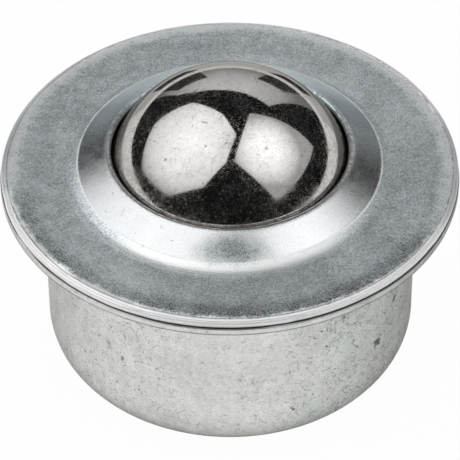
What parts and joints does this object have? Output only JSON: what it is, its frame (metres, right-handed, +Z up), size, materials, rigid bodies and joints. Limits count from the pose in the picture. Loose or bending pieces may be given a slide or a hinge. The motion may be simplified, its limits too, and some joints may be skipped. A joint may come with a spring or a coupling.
{
  "type": "ball transfer unit",
  "caption": "Drop-in ball transfer unit: a large polished steel load ball on a bed of small balls in a round sheet-steel housing with a flat flange and a raised collar.",
  "frame": {"origin": "centre of the housing's underside", "axes": "+Z up through the load ball's centre and out of its top; X and Y alike across the flange"},
  "size_m": [0.055, 0.055, 0.0382],
  "materials": {
    "galvanised_sheet": "satin",
    "zinc_plated_sheet": "satin",
    "hardened_cup": "satin",
    "polished_ball": "mirror",
    "bearing_ball": "mirror"
  },
  "bodies": {
    "root": {"housing": "galvanised_sheet", "cover": "zinc_plated_sheet", "bearing_cup": "hardened_cup"},
    "support_balls": {"support_ball_r0_01": "bearing_ball", "support_ball_r1_01": "bearing_ball", "support_ball_r1_02": "bearing_ball", "support_ball_r1_03": "bearing_ball", "support_ball_r1_04": "bearing_ball", "support_ball_r1_05": "bearing_ball", "support_ball_r1_06": "bearing_ball", "support_ball_r2_01": "bearing_ball", "support_ball_r2_02": "bearing_ball", "support_ball_r2_03": "bearing_ball", "support_ball_r2_04": "bearing_ball", "support_ball_r2_05": "bearing_ball", "support_ball_r2_06": "bearing_ball", "support_ball_r2_07": "bearing_ball", "support_ball_r2_08": "bearing_ball", "support_ball_r2_09": "bearing_ball", "support_ball_r2_10": "bearing_ball", "support_ball_r2_11": "bearing_ball", "support_ball_r2_12": "bearing_ball", "support_ball_r3_01": "bearing_ball", "support_ball_r3_02": "bearing_ball", "support_ball_r3_03": "bearing_ball", "support_ball_r3_04": "bearing_ball", "support_ball_r3_05": "bearing_ball", "support_ball_r3_06": "bearing_ball", "support_ball_r3_07": "bearing_ball", "support_ball_r3_08": "bearing_ball", "support_ball_r3_09": "bearing_ball", "support_ball_r3_10": "bearing_ball", "support_ball_r3_11": "bearing_ball", "support_ball_r3_12": "bearing_ball", "support_ball_r3_13": "bearing_ball", "support_ball_r3_14": "bearing_ball", "support_ball_r3_15": "bearing_ball", "support_ball_r3_16": "bearing_ball", "support_ball_r4_02": "bearing_ball", "support_ball_r4_03": "bearing_ball", "support_ball_r4_04": "bearing_ball", "support_ball_r4_05": "bearing_ball", "support_ball_r4_06": "bearing_ball", "support_ball_r4_07": "bearing_ball", "support_ball_r4_08": "bearing_ball", "support_ball_r4_09": "bearing_ball", "support_ball_r4_10": "bearing_ball", "support_ball_r4_11": "bearing_ball", "support_ball_r4_12": "bearing_ball", "support_ball_r4_13": "bearing_ball", "support_ball_r4_14": "bearing_ball", "support_ball_r4_15": "bearing_ball", "support_ball_r4_16": "bearing_ball", "support_ball_r4_17": "bearing_ball", "support_ball_r4_18": "bearing_ball", "support_ball_r4_19": "bearing_ball"},
    "carrier_ball": {"support_ball_r4_01": "bearing_ball"},
    "load_ball": {"load_ball": "polished_ball"}
  },
  "joints": [
    {"name": "support_balls_orbit", "type": "hinge", "parent": "root", "child": "support_balls", "pos_m": [0, 0, 0.02321], "axis": [0, 0, 1], "continuous": true},
    {"name": "carrier_ball_spin", "type": "hinge", "parent": "support_balls", "child": "carrier_ball", "pos_m": [0, 0, 0.02321], "axis": [0, 0.963, -0.2696], "continuous": true},
    {"name": "load_ball_roll", "type": "hinge", "parent": "carrier_ball", "child": "load_ball", "pos_m": [0, 0, 0.02321], "axis": [1, 0, 0], "continuous": true}
  ]
}
